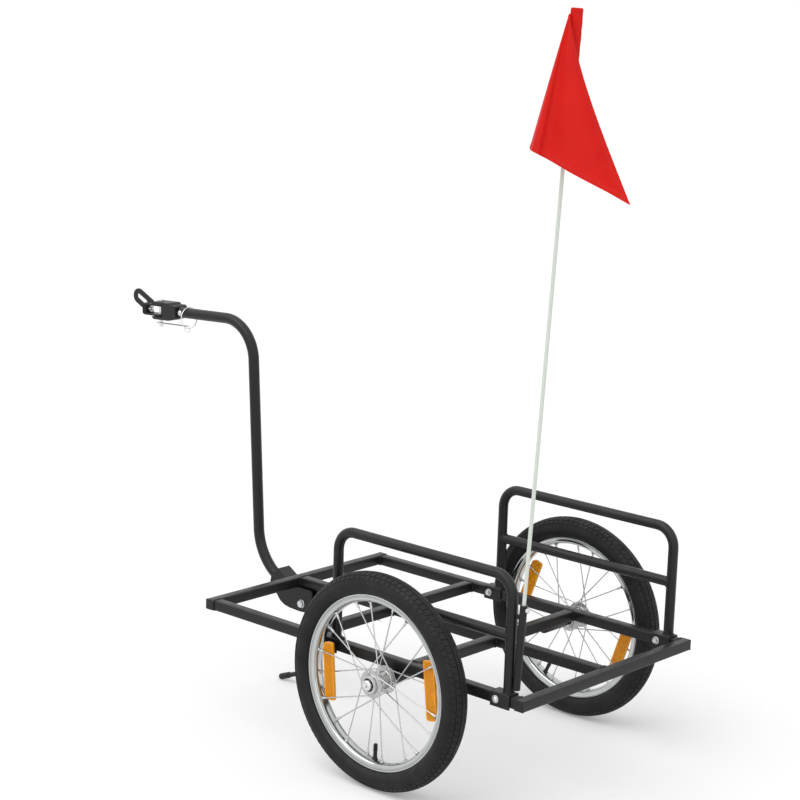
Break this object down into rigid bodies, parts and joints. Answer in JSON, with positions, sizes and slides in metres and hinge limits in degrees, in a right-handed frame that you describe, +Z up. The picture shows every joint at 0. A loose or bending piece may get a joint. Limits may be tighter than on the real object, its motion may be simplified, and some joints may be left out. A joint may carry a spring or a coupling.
{
  "type": "cargo bike trailer",
  "caption": "Cargo bike trailer with spoked wheels, an open tube deck, side guards, a folding tow bar, a kickstand and a safety flag.",
  "frame": {"origin": "middle of the bounding box at ground level", "axes": "-X forward to the bicycle, +X to the rear, +Y to the right side, +Z up"},
  "size_m": [1.4786, 0.6416, 1.3869],
  "materials": {
    "frame_paint": "satin black powder coat",
    "zinc": "bright zinc plate",
    "polished_steel": "polished",
    "spoke_steel": "drawn wire and zinc plated hub",
    "rim_alloy": "polished alloy",
    "tyre": "matte rubber",
    "tube_rubber": "soft rubber",
    "black_plastic": "matte moulded",
    "bearing_seal": "dark sealed bearing",
    "amber": "clear amber prism",
    "flag_cloth": "woven nylon",
    "pole_fibreglass": "pultruded fibreglass"
  },
  "bodies": {
    "frame": {"left_guard": "frame_paint", "right_guard": "frame_paint", "left_axle": "polished_steel", "right_axle": "polished_steel", "tow_bar_bracket": "frame_paint", "left_rail": "frame_paint", "right_rail": "frame_paint", "kickstand_bracket": "frame_paint", "flag_socket": "frame_paint", "kickstand_pin": "zinc", "centre_rail_and_cross_members": "frame_paint", "left_front_guard_bolt": "zinc", "left_rear_guard_bolt": "zinc", "right_front_guard_bolt": "zinc", "right_rear_guard_bolt": "zinc", "tow_pivot_nut": "zinc", "tow_pivot_bolt": "zinc", "flag_clamp_screw": "zinc", "kickstand_clip": "polished_steel", "front_cross_tube": "frame_paint", "rear_cross_tube": "frame_paint", "front_left_tube_plug": "black_plastic", "front_right_tube_plug": "black_plastic", "rear_left_tube_plug": "black_plastic", "rear_right_tube_plug": "black_plastic"},
    "left_wheel": {"left_tyre": "tyre", "left_inner_tube": "tube_rubber", "left_rim": "rim_alloy", "left_hub_and_spokes": "spoke_steel", "left_outer_bearing": "bearing_seal", "left_inner_bearing": "bearing_seal", "left_reflector_1": "amber", "left_reflector_2": "amber"},
    "left_button": {"left_release_button": "polished_steel"},
    "right_wheel": {"right_tyre": "tyre", "right_inner_tube": "tube_rubber", "right_rim": "rim_alloy", "right_hub_and_spokes": "spoke_steel", "right_outer_bearing": "bearing_seal", "right_inner_bearing": "bearing_seal", "right_reflector_1": "amber", "right_reflector_2": "amber"},
    "right_button": {"right_release_button": "polished_steel"},
    "tow_bar": {"tow_bar": "frame_paint", "hitch_block": "black_plastic", "hitch_clamp_bolt": "zinc"},
    "plunger": {"plunger_pin": "polished_steel", "pull_ring": "polished_steel"},
    "hitch_pin": {"hitch_pin": "polished_steel"},
    "safety_clip": {"safety_clip": "polished_steel", "clip_ring": "polished_steel"},
    "hitch_yoke": {"hitch_yoke": "frame_paint"},
    "axle_eye": {"axle_eye_plate": "frame_paint", "swivel_bolt": "zinc", "swivel_nut": "zinc"},
    "flag_mast": {"flag_pole": "pole_fibreglass", "flag_sleeve": "flag_cloth", "flag": "flag_cloth"},
    "kickstand": {"kickstand_leg": "frame_paint", "kickstand_foot": "black_plastic"}
  },
  "joints": [
    {"name": "left_wheel_spin", "type": "hinge", "parent": "frame", "child": "left_wheel", "pos_m": [0.27117, -0.283, 0.1995], "axis": [0, 1, 0], "continuous": true},
    {"name": "left_button_press", "type": "slide", "parent": "frame", "child": "left_button", "axis": [0, 1, 0], "range_m": [0, 0.003], "stiffness_N_per_m": 600, "springref_m": -0.002},
    {"name": "right_wheel_spin", "type": "hinge", "parent": "frame", "child": "right_wheel", "pos_m": [0.27117, 0.283, 0.1995], "axis": [0, 1, 0], "continuous": true},
    {"name": "right_button_press", "type": "slide", "parent": "frame", "child": "right_button", "axis": [0, -1, 0], "range_m": [0, 0.003], "stiffness_N_per_m": 600, "springref_m": -0.002},
    {"name": "tow_bar_fold", "type": "hinge", "parent": "frame", "child": "tow_bar", "pos_m": [-0.18683, 0, 0.181], "axis": [0, -1, 0], "range_deg": [0, 55]},
    {"name": "plunger_pull", "type": "slide", "parent": "frame", "child": "plunger", "axis": [0, 1, 0], "range_m": [0, 0.008], "stiffness_N_per_m": 500, "springref_m": -0.005},
    {"name": "hitch_pin_lift", "type": "slide", "parent": "tow_bar", "child": "hitch_pin", "axis": [-0.0465, 0, 0.9989], "range_m": [0, 0.006]},
    {"name": "safety_clip_pull", "type": "slide", "parent": "hitch_pin", "child": "safety_clip", "axis": [0.9989, 0, 0.0465], "range_m": [0, 0.022]},
    {"name": "hitch_yaw", "type": "hinge", "parent": "tow_bar", "child": "hitch_yoke", "pos_m": [-0.63776, 0, 0.71807], "axis": [-0.0465, 0, 0.9989], "range_deg": [-70, 70]},
    {"name": "hitch_roll", "type": "hinge", "parent": "hitch_yoke", "child": "axle_eye", "pos_m": [-0.67771, 0, 0.71621], "axis": [-0.9989, 0, -0.0465], "continuous": true},
    {"name": "mast_lift", "type": "slide", "parent": "frame", "child": "flag_mast", "axis": [0.0526, 0, 0.9986], "range_m": [0, 0.12]},
    {"name": "kickstand_fold", "type": "hinge", "parent": "frame", "child": "kickstand", "pos_m": [-0.14083, 0, 0.196], "axis": [0, -1, 0], "range_deg": [0, 107]}
  ]
}
